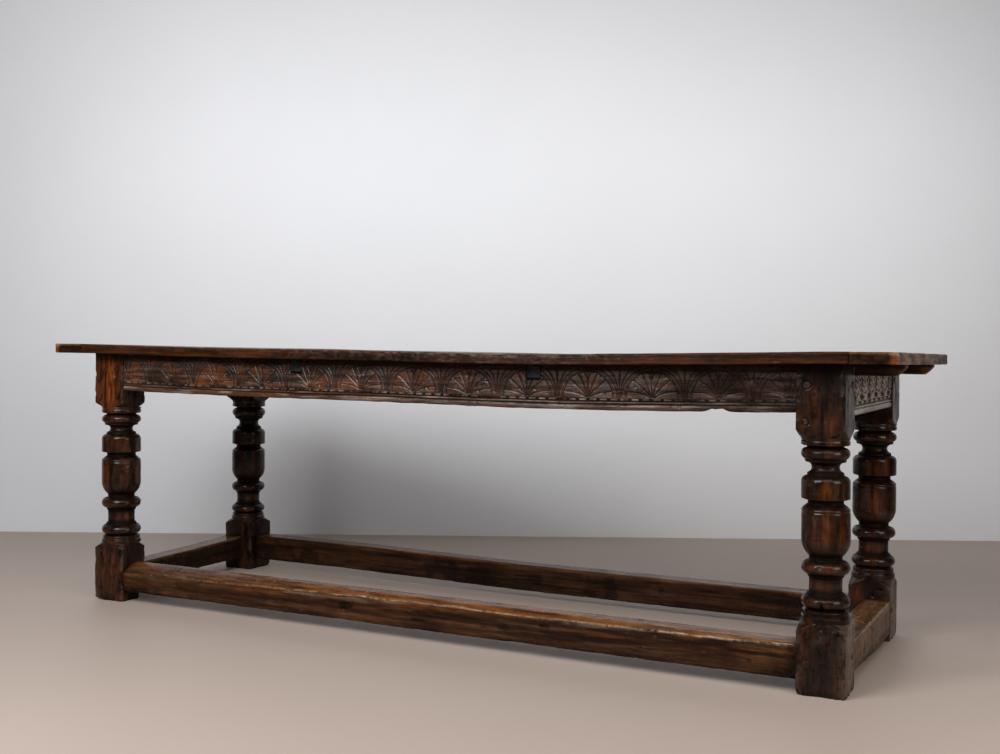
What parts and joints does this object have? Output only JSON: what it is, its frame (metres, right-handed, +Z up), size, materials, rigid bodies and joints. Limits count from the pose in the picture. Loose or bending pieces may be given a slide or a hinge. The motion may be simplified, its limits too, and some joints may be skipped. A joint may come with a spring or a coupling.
{
  "type": "refectory table",
  "caption": "Long joined oak dining table with turned legs, low stretchers all round, carved frieze rails and a cleated plank top.",
  "frame": {"origin": "on the floor, under the middle of the top", "axes": "+X along the table's length, -Y is the pictured front, +Z up"},
  "size_m": [2.46, 0.82, 0.77],
  "materials": {
    "oak_top": "aged dark oak, waxed",
    "oak_legs": "aged dark oak, waxed",
    "oak_friezes": "aged dark oak, waxed",
    "oak_stretchers": "aged dark oak, waxed",
    "oak_bearers": "aged dark oak, waxed",
    "oak_pegs": "aged dark oak, waxed",
    "iron_nails": "forged, dark"
  },
  "bodies": {
    "root": {"top_plank_front": "oak_top", "top_plank_middle": "oak_top", "top_plank_back": "oak_top", "left_cleat": "oak_top", "right_cleat": "oak_top", "front_left_leg": "oak_legs", "front_right_leg": "oak_legs", "back_left_leg": "oak_legs", "back_right_leg": "oak_legs", "front_frieze": "oak_friezes", "back_frieze": "oak_friezes", "left_end_frieze": "oak_friezes", "right_end_frieze": "oak_friezes", "front_stretcher": "oak_stretchers", "back_stretcher": "oak_stretchers", "left_end_stretcher": "oak_stretchers", "right_end_stretcher": "oak_stretchers", "left_cross_bearer": "oak_bearers", "right_cross_bearer": "oak_bearers", "front_left_end_bearer": "oak_bearers", "front_right_end_bearer": "oak_bearers", "back_left_end_bearer": "oak_bearers", "back_right_end_bearer": "oak_bearers", "frieze_pegs": "oak_pegs", "stretcher_pegs": "oak_pegs", "leg_plugs": "oak_pegs", "cleat_pegs": "oak_pegs", "top_pegs": "oak_pegs", "bearer_nails": "iron_nails"}
  },
  "joints": []
}
